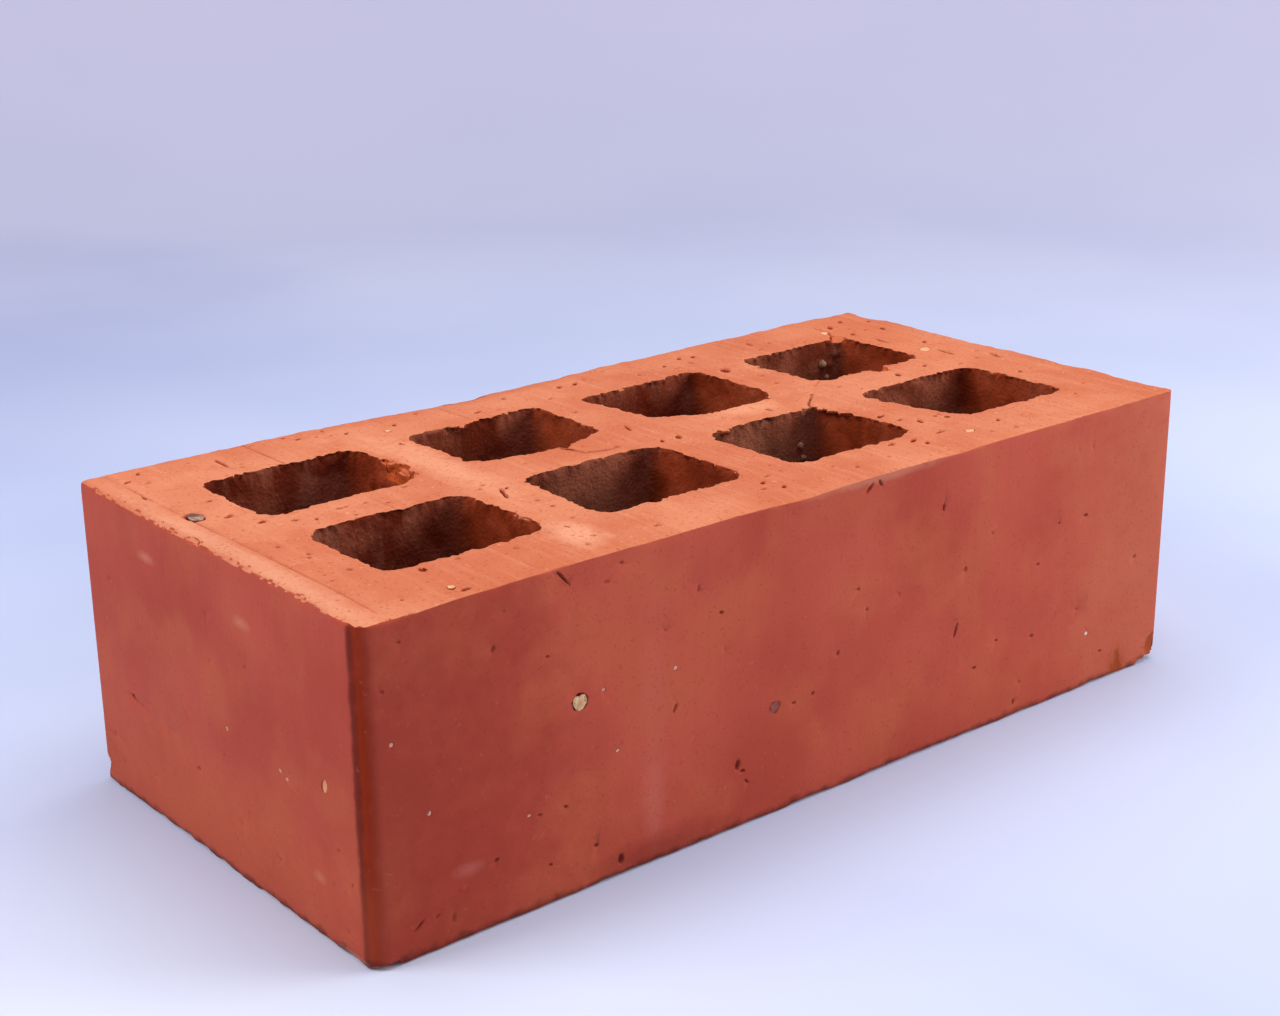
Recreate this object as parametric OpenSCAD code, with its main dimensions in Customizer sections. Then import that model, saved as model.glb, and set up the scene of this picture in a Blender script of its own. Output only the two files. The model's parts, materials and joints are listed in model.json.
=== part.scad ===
// Extruded, wire-cut clay brick with upright cores, lying on its bed face.
// +X runs along the length, +Y across the width, +Z up. The origin is the
// centre of the lower bed face. Millimetres.

/* [Brick] */
// Length of the stretcher faces
brick_l = 215; // [210:1:225]
// Width across the header faces
brick_w = 102.5; // [100:0.5:110]
// Height from bed face to bed face
brick_h = 65; // [62:1:75]
// Radius that the die gives the upright arrises
arris_r = 3.5; // [1:0.5:5]

/* [Cores] */
// Length of a core
core_l = 36; // [30:0.5:36]
// Width of a core
core_w = 28; // [24:0.5:28]
// Radius in the corners of a core
core_r = 5; // [2:0.5:8]
// Distance between core centres along the length
core_pitch_x = 47.5; // [46:0.5:48.5]
// Distance between core centres across the width
core_pitch_y = 40; // [38:0.5:41]
// How far the cores sit off the middle, along the length
core_shift_x = -1; // [-1.5:0.25:0]
// How far the cores sit off the middle, across the width
core_shift_y = -0.5; // [-1.5:0.25:0]

/* [Stones] */
// Room that the clay left round each stone as it shrank
shrink_gap = 0.15; // [0.05:0.05:0.3]
// Length of the grey pebble in the upper bed face
grey_pebble_l = 5.6; // [3:0.2:7]
// Width of the grey pebble
grey_pebble_w = 3.4; // [2:0.2:4]
// Width of the cream pebble in the stretcher face
cream_pebble_d = 3.4; // [2:0.2:5]
// Length of the buff grain in the header face
buff_grain_l = 3; // [1.5:0.1:4]
// Width of the buff grain
buff_grain_w = 1.6; // [1:0.1:2]
// Width of the white quartz grain near the right end of the stretcher face
quartz_grain_d = 1.2; // [0.8:0.1:2]
// Width of the ironstone nodule in the stretcher face
iron_nodule_d = 2.6; // [1.5:0.1:4]

/* [Hidden] */
$fn = 48;
clay_red = "#b55a46";
// Cores along the length and across the width
cores_long = 4;
cores_wide = 2;
// How far a core is cut past the bed faces
cut_through = 1;
// How deep a round stone's centre lies behind its face, as a part of the stone's width
bury = 0.1;
// Stones in the upper bed face: along the length, across the width, width
bed_grit_at = [[93, 11, 3.4], [86, 38.5, 2.6], [49.5, -42.5, 2.4], [-42.5, 39, 1.6], [-85.5, -46.5, 1.6]];
// Stones in the stretcher face: along the length, up the height, width
stretcher_grit_at = [
    [-56.5, 39, 1.4], [-39.5, 38.5, 1.2], [-74, 19.5, 1], [-53.5, 26, 1], [-102, 42, 1], [-95, 27, 1],
];
// Stones in the header face: across the width, up the height, width
header_grit_at = [[-24.5, 27.5, 1.2], [-22.5, 28.5, 1], [-3.5, 30, 1.2]];
// Where the single stones lie in their faces
grey_pebble_at = [-100.5, 16];
cream_pebble_at = [-62, 38];
quartz_grain_at = [81.5, 13];
iron_nodule_at = [-14, 23];
buff_grain_at = [-37.5, 31];
buff_grain_tilt = 20;
// Grains that stand out of the rear wall of a core: column, row, from its middle, height, width
core_grit_at = [
    [3, 1, 9.5, 59, 2.2], [3, 1, 11, 55.5, 1.4], [2, 0, 11.5, 56.5, 1.6], [2, 0, 12.5, 53.5, 1.4],
];

// A rectangle about the origin with round corners, true arcs and straight sides.
module rounded_rectangle(l, w, r) {
    square([l - 2 * r, w], center = true);
    square([l, w - 2 * r], center = true);
    for (x = [-1, 1], y = [-1, 1])
        translate([x * (l / 2 - r), y * (w / 2 - r)]) circle(r);
}

// Middle of one core: column i along the length, row j across the width.
function core_x(i) = core_shift_x + (i - (cores_long - 1) / 2) * core_pitch_x;
function core_y(j) = core_shift_y + (j - (cores_wide - 1) / 2) * core_pitch_y;

// The column of clay as the die and the cutting wires leave it, without cores.
module cut_block() {
    linear_extrude(brick_h) rounded_rectangle(brick_l, brick_w, arris_r);
}

// One core, cut through both bed faces.
module core() {
    translate([0, 0, -cut_through])
        linear_extrude(brick_h + 2 * cut_through) rounded_rectangle(core_l, core_w, core_r);
}

// A long stone with round ends, lying along Y with its middle line in the face at z = 0.
module oval_stone(l, w, grow = 0) {
    rotate([90, 0, 0]) cylinder(h = l - w, r = w / 2 + grow, center = true);
    for (end = [-1, 1])
        translate([0, end * (l - w) / 2, 0]) sphere(w / 2 + grow);
}

// A round stone with its centre just behind the face at z = 0.
module round_stone(d, grow = 0) {
    translate([0, 0, -bury * d]) sphere(d / 2 + grow);
}

// These turn a stone's local +Z to the outward side of one face of the block.
module on_bed(x, y) { translate([x, y, brick_h]) children(); }
module on_stretcher(x, z) { translate([x, -brick_w / 2, z]) rotate([90, 0, 0]) children(); }
module on_header(y, z) { translate([-brick_l / 2, y, z]) rotate([0, -90, 0]) children(); }
module on_core_wall(i, j, x, z) {
    translate([core_x(i) + x, core_y(j) + core_w / 2, z]) rotate([90, 0, 0]) children();
}

// Each stone, or with grow the socket that it lies in.
module grey_pebble_shape(grow = 0) {
    on_bed(grey_pebble_at[0], grey_pebble_at[1]) oval_stone(grey_pebble_l, grey_pebble_w, grow);
}
module cream_pebble_shape(grow = 0) {
    on_stretcher(cream_pebble_at[0], cream_pebble_at[1]) round_stone(cream_pebble_d, grow);
}
module buff_grain_shape(grow = 0) {
    on_header(buff_grain_at[0], buff_grain_at[1])
        rotate([0, 0, buff_grain_tilt - 90]) oval_stone(buff_grain_l, buff_grain_w, grow);
}
module quartz_grain_shape(grow = 0) {
    on_stretcher(quartz_grain_at[0], quartz_grain_at[1]) round_stone(quartz_grain_d, grow);
}
module iron_nodule_shape(grow = 0) {
    on_stretcher(iron_nodule_at[0], iron_nodule_at[1]) round_stone(iron_nodule_d, grow);
}
module bed_grit_shapes(grow = 0) {
    for (g = bed_grit_at) on_bed(g[0], g[1]) round_stone(g[2], grow);
}
module stretcher_grit_shapes(grow = 0) {
    for (g = stretcher_grit_at) on_stretcher(g[0], g[1]) round_stone(g[2], grow);
}
module header_grit_shapes(grow = 0) {
    for (g = header_grit_at) on_header(g[0], g[1]) round_stone(g[2], grow);
}
module core_wall_grit_shapes(grow = 0) {
    for (g = core_grit_at) on_core_wall(g[0], g[1], g[2], g[3]) round_stone(g[4], grow);
}

// A stone that the die or the wire left level with the face round it.
module flush() {
    intersection() {
        children();
        cut_block();
    }
}

module fired_clay_body() {
    color(clay_red) difference() {
        cut_block();
        for (i = [0 : cores_long - 1], j = [0 : cores_wide - 1])
            translate([core_x(i), core_y(j), 0]) core();
        grey_pebble_shape(shrink_gap);
        cream_pebble_shape(shrink_gap);
        buff_grain_shape(shrink_gap);
        quartz_grain_shape(shrink_gap);
        iron_nodule_shape(shrink_gap);
        bed_grit_shapes(shrink_gap);
        stretcher_grit_shapes(shrink_gap);
        header_grit_shapes(shrink_gap);
        core_wall_grit_shapes(shrink_gap);
    }
}

module grey_pebble() { color("#8d8078") flush() grey_pebble_shape(); }
module cream_pebble() { color("#d8c39c") flush() cream_pebble_shape(); }
module buff_grain() { color("#d98b5e") flush() buff_grain_shape(); }
module quartz_grain() { color("#f3ece4") flush() quartz_grain_shape(); }
module iron_nodule() { color("#5f4541") flush() iron_nodule_shape(); }
module bed_grit() { color("#ecc394") flush() bed_grit_shapes(); }
module stretcher_grit() { color("#eadccb") flush() stretcher_grit_shapes(); }
module header_grit() { color("#e0b28c") flush() header_grit_shapes(); }
module core_wall_grit() { color("#cbb097") core_wall_grit_shapes(); }

fired_clay_body();
grey_pebble();
cream_pebble();
buff_grain();
quartz_grain();
iron_nodule();
bed_grit();
stretcher_grit();
header_grit();
core_wall_grit();
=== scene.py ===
# Looks of a perforated clay brick: extruded through a die, cut by wires, fired, and lying on a bed face.
import json
import math

import bpy
import numpy as np
from mathutils import Matrix, Vector


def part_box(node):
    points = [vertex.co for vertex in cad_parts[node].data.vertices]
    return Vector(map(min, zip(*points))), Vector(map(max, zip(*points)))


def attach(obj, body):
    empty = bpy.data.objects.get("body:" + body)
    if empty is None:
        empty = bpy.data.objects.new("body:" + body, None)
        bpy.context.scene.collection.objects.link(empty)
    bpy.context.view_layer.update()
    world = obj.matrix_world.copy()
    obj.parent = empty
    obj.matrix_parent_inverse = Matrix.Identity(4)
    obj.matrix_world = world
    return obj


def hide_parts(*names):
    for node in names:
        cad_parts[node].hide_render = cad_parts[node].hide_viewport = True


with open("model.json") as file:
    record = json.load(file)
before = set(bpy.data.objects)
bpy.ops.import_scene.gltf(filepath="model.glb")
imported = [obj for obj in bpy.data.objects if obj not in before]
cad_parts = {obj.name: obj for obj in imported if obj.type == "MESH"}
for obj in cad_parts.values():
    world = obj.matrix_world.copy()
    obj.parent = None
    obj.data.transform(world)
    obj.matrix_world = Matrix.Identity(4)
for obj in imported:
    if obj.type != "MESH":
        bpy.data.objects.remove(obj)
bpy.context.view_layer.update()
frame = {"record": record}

MM = 0.001
SEED = 7

# ---------------------------------------------------------------- sizes and places, in millimetres

low, high = (np.array(corner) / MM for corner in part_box("fired_clay_body"))
LENGTH, WIDTH, HEIGHT = high - low
HALF_L, HALF_W = LENGTH / 2, WIDTH / 2
ARRIS = 1.8           # radius of the upright arrises where they are crisp
NEAR_ARRIS = 3.5      # and of the near left one, which is rounder
# The socket that the clay leaves round a stone as it shrinks: its gap and its depth as parts of
# the stone's width, and how dark its painted shade is.
SOCKET_GAP = 0.1
SOCKET_DEPTH = 0.55
SOCKET_DARKNESS = 0.15
RIM_SHADE_DEPTH = 0.6      # how far down a core's wall the painted shade under its rim reaches
# The wire drags hollows out into long, reddish slits; the die closes them again and hides them.
# How much longer, wider, deeper and darker they are for it; the darkness is dark clay and painted shade
# inside the hollow.
HOLLOW_FORM = {"bed": (1.3, 0.95, 0.65, 1.3), "skin": (0.85, 0.7, 0.55, 0.75)}
GRID = 0.5            # size of the fine mesh that the clay is worked in
SNAP = 0.45 * GRID    # how near a true plane the remesh leaves the points that belong on it
ON_FACE = 0.05        # points this near a true plane are on that face
TRIANGLES = 190000    # what the finished clay body may have
SMOOTH_UNDER = math.radians(40)    # edges less sharp than this are shaded smooth

# Faces of the block: the two directions across it, the one through it, its side and its place.
FACES = {
    "upper_bed": (0, 1, 2, 1, HEIGHT),
    "lower_bed": (0, 1, 2, -1, 0),
    "front": (0, 2, 1, -1, -HALF_W),
    "rear": (0, 2, 1, 1, HALF_W),
    "left": (1, 2, 0, -1, -HALF_L),
    "right": (1, 2, 0, 1, HALF_L),
}

# Each core's outline about the middle of its opening, clockwise, and the radius in its corners.
CORES = {
    "core_rear_1": ([(-18.5, 14), (17.5, 14), (17.5, -12), (-18.5, -13)], 4.5),
    "core_rear_2": ([(-18, 13.5), (17, 14), (17, -9.5), (3.5, -14.5), (-17, -11)], 3.5),
    "core_rear_3": ([(-20, 12), (16, 13.5), (16, -10.5), (13, -15.5), (-5, -16), (-16, -10)], 2.8),
    "core_rear_4": ([(-18, 13), (16, 13.5), (16.5, -13), (-14, -13), (-17.5, -10)], 2.2),
    "core_front_1": ([(-18, 15), (17.5, 15), (18, -13), (-18, -13)], 4.5),
    "core_front_2": ([(-16.5, 15), (18.5, 14.5), (19, -13.5), (-17.5, -13.5)], 4.5),
    "core_front_3": ([(-17, 13.5), (17.5, 13.5), (18, -15), (-16.5, -15)], 5),
    "core_front_4": ([(-18, 14), (18.5, 14.5), (19.5, -14), (-13, -13.5), (-17.5, 5.5)], 3.5),
}
CORE_SPAN = 28        # no core reaches farther from its middle, each way
middles = {
    opening["name"]: np.mean(opening["box_m"], axis=0)[:2] / MM
    for opening in frame["record"]["physics"]["openings"]
}
core_outlines = [(np.array(outline) + middles[name], corner) for name, (outline, corner) in CORES.items()]
block_outline = np.array([(-HALF_L, HALF_W), (HALF_L, HALF_W), (HALF_L, -HALF_W), (-HALF_L, -HALF_W)])

# Clay that the wire dragged over a core's rim: its outline, its top and its underside.
DRAGGED_CLAY = [
    ([(-32, 35), (-30, 32.5), (-28.5, 31), (-26.5, 32.5), (-24, 35)], 64.9, 63.8),
    ([(6, -5), (8, -8), (10.5, -7.2), (12, -8.8), (14, -5)], 64.8, 63.6),
    ([
        (44, -5), (36, -5.6), (38.4, -8.2), (36.8, -9.4), (39, -10.6), (37.2, -12), (39.2, -13.4),
        (38, -15), (39.8, -16.4), (39, -18), (40.4, -20), (44, -20),
    ], 65, 64.1),
]

# Torn lumps that stand out of a core's wall: middle, and reach each way.
TORN_LUMPS = [
    ((-53.4, 22, 60.5), (1.9, 2.6, 2.6)),
    ((-53.2, 17, 57.5), (2.1, 2.8, 3.4)),
    ((-53.6, 11.5, 61), (1.8, 2, 2.4)),
    ((-53.8, 26.5, 59), (1.6, 1.6, 2)),
    ((84, 33.4, 61), (1.5, 1.3, 1.3)),
    ((82.5, 33.6, 58.6), (1.2, 1.2, 1.5)),
]

# Bites out of rims and edges: the middle of an oval scoop, and its reach each way.
BITES = [
    ((-57.5, 17, 68), (4.8, 9, 8.5)), ((71.5, 8.5, 67), (3, 6.8, 5)), ((53.5, 24.5, 66), (3, 1.6, 2.4)),
    ((84.8, 32.6, 66.5), (2.6, 3, 3)), ((76, -33, 66), (2.4, 2.6, 2.2)),
    ((-64.5, -32.8, 66), (1.8, 2.2, 1.8)), ((-40.5, -17.3, 66), (2.6, 2, 1.7)),
    ((-21, 6.2, 66.3), (2, 2.6, 2.2)), ((-86, 5.8, 65.8), (2.6, 1.6, 1.4)),
    ((109.4, -52.2, 2.8), (2.7, 2.7, 3.6)), ((110, -51.5, -3.2), (14, 5, 5.8)),
    ((106, -52.6, 3.4), (4, 2.2, 4.2)), ((92.6, -52.4, 3.6), (1.9, 1.45, 5)),
    ((93, -52.4, 0.8), (4.2, 1.5, 4)), ((-106.5, -53, -0.9), (6, 5, 2.6)),
    ((-108.3, 50.8, 3.4), (2, 2.2, 2.4)), ((-108.2, -45, -0.5), (1.3, 3, 1.5)),
    ((-108.2, 22, 65.6), (1.3, 4, 1.3)), ((-108.1, -12, 65.6), (1.1, 2.5, 1.1)),
    ((-108.1, 40, 65.5), (1.1, 2, 1)), ((-18.5, 52, 66), (4, 3, 2.2)),
    ((-11, 52, 65.8), (2.8, 2.6, 1.8)), ((26, 52, 65.8), (2.6, 1.6, 1.5)),
    ((108.2, 45, 65.9), (2.2, 3, 1.4)), ((108.2, 26, 65.8), (1.6, 2, 1.2)),
    ((108.2, 5, 65.7), (1.6, 2.2, 1.1)), ((108, -20, 65.6), (1.6, 2.2, 1.2)),
    ((108, -46, 65.6), (1.6, 2.5, 1.2)), ((60, 52, -0.6), (5, 2, 1.9)),
    ((108, 20, -0.5), (1.8, 6, 1.6)), ((-70, 52, -0.5), (3, 1.6, 1.5)),
    ((30, -51.9, -0.5), (7, 1.1, 1)), ((-36, -51.8, -0.5), (9, 1, 1)), ((33, -51.9, 65.5), (6, 1.1, 1)),
    ((-88, -51.8, 65.4), (4, 0.9, 0.8)), ((66, -51.9, -0.5), (4, 1.2, 1.1)),
    ((4, -51.9, 65.5), (7, 1, 0.9)), ((-108.1, 10, -0.4), (1, 5, 1)),
]

CRUMB_FRESHNESS = 0.45    # small crumbs went long ago, and bare less bright clay than a bite does
# Edges that crumble: from, to, how many crumbs are gone, and how large they are.
CRUMBLED_EDGES = [
    ((-107.9, -48, 65.4), (-107.9, 48, 65.4), 70, 1.7),
    ((-104, 51.6, 65.4), (104, 51.6, 65.4), 30, 0.8),
    ((107.9, -48, 65.4), (107.9, 48, 65.4), 24, 0.7),
    ((-100, -51.6, 65.4), (104, -51.6, 65.4), 16, 0.7),
    ((-100, -51.6, -0.4), (104, -51.6, -0.4), 40, 1),
    ((-107.9, -46, -0.4), (-107.9, 46, -0.4), 30, 1),
    ((-100, 51.6, -0.4), (104, 51.6, -0.4), 30, 1),
    ((107.9, -46, -0.4), (107.9, 46, -0.4), 20, 1),
]

# Where the upper bed face is worn low: middle, reach, depth.
WORN_LOW = [
    ((-14, 54), (26, 8), 1.3), ((14, 54), (14, 6), 0.5), ((-109, -53), (26, 14), 0.9),
    ((-5, -53), (15, 5), 0.5), ((37, -53), (5, 4), 0.45), ((109, 45), (6, 8), 0.5),
    ((109, 26), (5, 6), 0.25), ((109, 5), (5, 9), 0.25), ((43, 44), (18, 10), 0.3),
    ((-100, 15), (10, 22), 0.25),
]

# Hollows pressed or torn into a face: its place across the face, length, width, turn in degrees, depth.
HOLLOWS = {
    "upper_bed": [
        (-80.5, 42, 5.7, 0.9, 88, 0.9), (-102.5, 32.5, 2.6, 0.9, 80, 0.7),
        (91, 23.5, 4.2, 1.2, 80, 0.9), (94.5, 5.5, 6, 1.1, 85, 1), (101, -4, 4.2, 1.2, 75, 0.9),
        (-3, 7, 3.6, 0.9, 70, 0.8), (-48.5, -10.5, 4.2, 1, 65, 1), (-49.5, -13, 2.4, 1, 70, 0.8),
        (-46.5, -9, 1.6, 0.8, 40, 0.7), (-96.5, 47, 1.6, 1.1, 70, 0.7),
        (-100.5, 43.5, 1.8, 1.3, 30, 0.8), (-94, 22.5, 1.5, 1.1, 0, 0.7),
        (-100.4, 16.3, 5, 4.6, 88, 0.9), (-95.5, 12, 1.7, 1.4, 0, 0.8), (-92.5, 5, 1.9, 1.5, 20, 0.8),
        (-87.5, 1.5, 1.6, 1.2, 0, 0.7), (-77, 2, 3.2, 1, 5, 0.7), (-84, -0.5, 1.5, 0.9, 60, 0.6),
        (-84.5, -36.3, 1.9, 1.5, 80, 0.9), (-84, -48.5, 1.7, 1.4, 0, 0.8),
        (-60, 46.5, 1.8, 1.2, 30, 0.7), (-62, 49, 1.4, 1, 0, 0.6), (-69.5, 49, 1.3, 0.9, 0, 0.5),
        (-53, 48.5, 1.6, 0.9, 80, 0.6), (-50, 43.5, 1.8, 1.1, 45, 0.8), (-39, 42, 1.6, 1, 60, 0.7),
        (-20, 38, 1.7, 1.1, 20, 0.7), (-9, 43.5, 1.6, 1.2, 70, 0.7), (-1.5, 36, 1.4, 1, 0, 0.6),
        (6, 42.5, 2.2, 1.5, 60, 1.1), (10.5, 42.5, 2.2, 1.5, 50, 1.1), (-4, 24, 1.5, 1.2, 0, 0.7),
        (-3.5, -5, 1.8, 1.2, 60, 0.8), (1, -5, 2.6, 1.6, 60, 1.1), (-3.5, -37, 1.5, 1.1, 0, 0.6),
        (-7, -39.5, 1.8, 1.2, 40, 0.7), (-5.5, -44, 1.7, 1.1, 40, 0.7), (-9.5, -42.5, 1.4, 0.9, 0, 0.6),
        (36, 41, 1.8, 1.1, 50, 0.8), (43.5, 44.5, 1.9, 1.3, 50, 0.8), (47, 43.5, 1.9, 1.3, 40, 0.8),
        (43, 39.5, 2.2, 1, 80, 0.8), (37, 37.5, 1.5, 1, 0, 0.7), (29, -2.5, 2.2, 1.2, 80, 0.8),
        (44.5, 0, 1.5, 1.1, 0, 0.6), (43.3, -22.5, 2.6, 1.2, 20, 0.8), (47, -30.5, 2.4, 1.4, 60, 0.9),
        (44.5, -27, 1.6, 1, 20, 0.7), (30, -38.5, 1.7, 1.2, 0, 0.8), (35.5, -39.5, 2.6, 1.3, 30, 1),
        (36.5, -42.5, 1.7, 1.2, 40, 0.8), (44.5, -38.8, 3, 1.2, 10, 0.9),
        (64.5, 42.5, 2.4, 1.2, 80, 0.8), (63, 37, 1.6, 1.1, 0, 0.7), (91, 41.5, 3, 1.6, 60, 1.1),
        (97, 44, 2.2, 1.3, 60, 0.9), (90.5, 33, 2.2, 1.4, 60, 1), (100.5, 32.5, 2.6, 1.6, 60, 1),
        (81.5, 0.5, 1.8, 1.3, 40, 0.8), (71, -1, 2.4, 1.6, 60, 0.9), (89, -4, 1.6, 1.1, 0, 0.7),
        (44, 28.5, 3.6, 2.8, 60, 1.2), (98, 16, 2, 1.2, 60, 0.8), (103, 40, 1.8, 1.2, 40, 0.8),
        (60, -41, 1.8, 1.1, 30, 0.7), (94, -18, 1.6, 1, 60, 0.7), (97, -34, 1.4, 1, 0, 0.6),
    ],
    "front": [
        (-65.2, 62.8, 5.2, 1, -50, 0.9), (-55.5, 59.5, 2, 1.3, 0, 0.5), (-52, 62.3, 1.4, 1, 0, 0.6),
        (11, 62.6, 3.6, 1, 42, 0.9), (14, 63, 2.4, 1, -62, 0.8), (32.7, 53.7, 2.4, 0.9, 86, 0.9),
        (37.7, 25.3, 3.8, 1, 74, 1), (-39.6, 30.3, 2.8, 1, 62, 0.7), (-28, 46.5, 1.3, 1, 0, 0.8),
        (-33.7, 52.7, 2, 1.1, 80, 0.5), (-23.8, 13.6, 3, 1.8, 80, 1), (-22.5, 12, 1.6, 1.2, 0, 0.9),
        (-21.3, 9.4, 1.8, 0.9, -50, 0.7), (-53, 3.4, 2.8, 2, 80, 1), (57.4, 3.4, 1.8, 1.1, 80, 0.8),
        (-98.3, 6.2, 3.8, 1, 40, 0.7), (-94.3, 6.8, 1.5, 0.8, 30, 0.5), (-91, 5.2, 2.2, 1.4, 80, 0.5),
        (-80.6, 53.5, 1.9, 1.3, 60, 0.6), (-69, 48.8, 1.3, 1, 0, 0.6), (3, 29.7, 1.4, 1.1, 60, 0.7),
        (-3.7, 23, 1.4, 1, 40, 0.7), (-9, 22.4, 1.5, 1.1, 0, 0.7), (8.3, 42, 1.5, 0.9, 0, 0.6),
        (11, 37, 1.1, 0.9, 0, 0.6), (40, 38.5, 1.7, 1.1, 80, 0.6), (69.8, 41.8, 1.1, 0.9, 0, 0.6),
        (78.8, 41.6, 1.6, 1, 0, 0.8), (63.4, 33.9, 1.5, 1, 0, 0.7), (50.7, 19.6, 1.3, 1, 0, 0.7),
        (62.4, 17.5, 1.4, 1.1, 0, 0.7), (97.1, 27.6, 1.6, 1.4, 0, 0.7), (86.6, 7.4, 1.5, 1, 0, 0.8),
        (44.1, 15.1, 1.7, 1, 10, 0.8), (-65.7, 18.5, 1.2, 1, 0, 0.8), (-71.6, 18.8, 1.1, 0.9, 0, 0.7),
        (-81.4, 13.2, 1.6, 1.1, 40, 0.7), (-69.5, 8.1, 1.1, 0.9, 0, 0.7), (-58.9, 8.4, 1.5, 1.2, 0, 0.8),
        (48, 44.6, 1.2, 0.9, 0, 0.5), (-99.6, 60, 1.2, 0.9, 0, 0.5),
    ],
    "left": [
        (9.3, 17.3, 1.6, 1.3, 0, 0.8), (35.2, 23.5, 2, 1.6, 0, 0.9), (-12, 45, 1.2, 1, 0, 0.5),
        (22, 40, 1.1, 0.9, 0, 0.5), (41, 47, 1.3, 0.9, 60, 0.5), (-41, 20, 1.2, 1, 0, 0.5),
        (-20, 10, 1.4, 1, 30, 0.6), (28, 9, 1.2, 0.9, 0, 0.5), (45, 12, 1.4, 1, 70, 0.6),
    ],
}

# Small pits strewn over each face: how many, and their least and greatest width.
STREWN_PITS = {
    "upper_bed": (60, 0.8, 1.3), "lower_bed": (90, 0.9, 2.2), "front": (9, 0.5, 0.8),
    "rear": (36, 0.8, 1.8), "left": (8, 0.5, 0.8), "right": (20, 0.8, 1.8),
}

# Lines that the wire or a dragged grain ploughed into a face: points across it, width, depth.
PLOUGHED = {
    "upper_bed": [
        ([(-102.3, 50), (-101.9, 20), (-101.4, -20), (-101, -47), (-99.6, -48.2)], 0.8, 0.3),
        ([(-71, 50.5), (-70.9, 34)], 0.7, 0.45), ([(-69.7, 4.8), (-69.5, -5)], 0.6, 0.25),
        ([(-68.9, -34.5), (-68.7, -49)], 0.6, 0.3), ([(-40.3, 49), (-40.2, 45)], 0.6, 0.35),
        ([(-24.1, 47), (-24, 34.5)], 0.6, 0.3), ([(-20.3, -34.5), (-20.2, -39)], 0.6, 0.3),
        ([(33.4, -11), (36.8, -7.8), (38.6, -5), (43.7, -0.8)], 0.8, 0.8),
        ([(43.7, -0.8), (50.4, 4.8), (54.5, 7.8)], 0.6, 0.3),
        ([(-22.5, 4.6), (-21.3, 2), (-20.6, -1), (-16.5, -2.4), (-12.8, -2)], 1, 0.9),
        ([(-12.8, -2), (-15, 1), (-18.5, 3)], 0.7, 0.35), ([(84.5, 34), (87, 38), (87.5, 44)], 0.8, 0.5),
    ],
    "lower_bed": [([(-60, 48), (-60.6, -47)], 0.8, 0.35), ([(44.5, 50), (44, 20)], 0.7, 0.3)],
    "front": [([(-66.9, 64), (-66.2, 62.4), (-64.6, 61)], 0.6, 0.3)],
    "left": [([(35, 23.5), (26, 21.8), (17, 21.6)], 0.6, 0.2)],
}

# Stones, each level with its face: its place across the face, length, width, turn in degrees.
STONES = {
    "grey_pebble": ("upper_bed", [(-100.5, 15.7, 4.8, 2.7, 88)]),
    "bed_grit": ("upper_bed", [
        (93, 11, 3.3, 2.4, 40), (86, 38.5, 2.5, 1.8, 60), (49.5, -42.5, 2.3, 1.8, 20),
        (-42.5, 39, 1.5, 1.2, 0), (-85.5, -46.5, 1.5, 1.2, 50),
    ]),
    "cream_pebble": ("front", [(-62, 38, 3.2, 3.2, 0)]),
    "quartz_grain": ("front", [(81.5, 13, 1, 0.9, 20)]),
    "iron_nodule": ("front", [(-14, 23, 2.5, 2.2, 60)]),
    "stretcher_grit": ("front", [
        (-56.5, 39, 0.9, 0.7, 0), (-39.5, 38.5, 0.9, 0.7, 40), (-74, 19.5, 0.8, 0.6, 0),
        (-53.5, 26, 0.8, 0.6, 30), (-102, 42, 0.8, 0.7, 0), (-95, 27, 0.8, 0.6, 60),
    ]),
    "buff_grain": ("left", [(-37.5, 31, 2.9, 1.5, 110)]),
    "header_grit": ("left", [(-24.5, 27.5, 1, 0.8, 0), (-22.5, 28.5, 0.9, 0.7, 40), (-3.5, 30, 1, 0.9, 20)]),
}
# Outline of the cream pebble: its reach every 45 degrees, from its right side upwards.
CREAM_OUTLINE = (0.95, 1.25, 0.72, 1.08, 0.9, 0.85, 1, 0.95)


# ---------------------------------------------------------------- small helpers

def deselect():
    bpy.ops.object.select_all(action="DESELECT")


def only(obj):
    """Makes obj the only selected and the active object."""
    deselect()
    obj.select_set(True)
    bpy.context.view_layer.objects.active = obj
    return obj


def settle(obj):
    """Moves the object's place, turn and size into its mesh."""
    only(obj)
    bpy.ops.object.transform_apply(location=True, rotation=True, scale=True)
    return obj


def join(objects, name):
    """Joins the objects into the first, under a new name."""
    deselect()
    for obj in objects:
        obj.select_set(True)
    bpy.context.view_layer.objects.active = objects[0]
    bpy.ops.object.join()
    objects[0].name = name
    return objects[0]


def apply_modifier(obj, kind, **settings):
    """Adds a modifier with these settings and applies it."""
    only(obj)
    modifier = obj.modifiers.new(kind.title(), kind)
    for key, value in settings.items():
        setattr(modifier, key, value)
    bpy.ops.object.modifier_apply(modifier=modifier.name)


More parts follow.
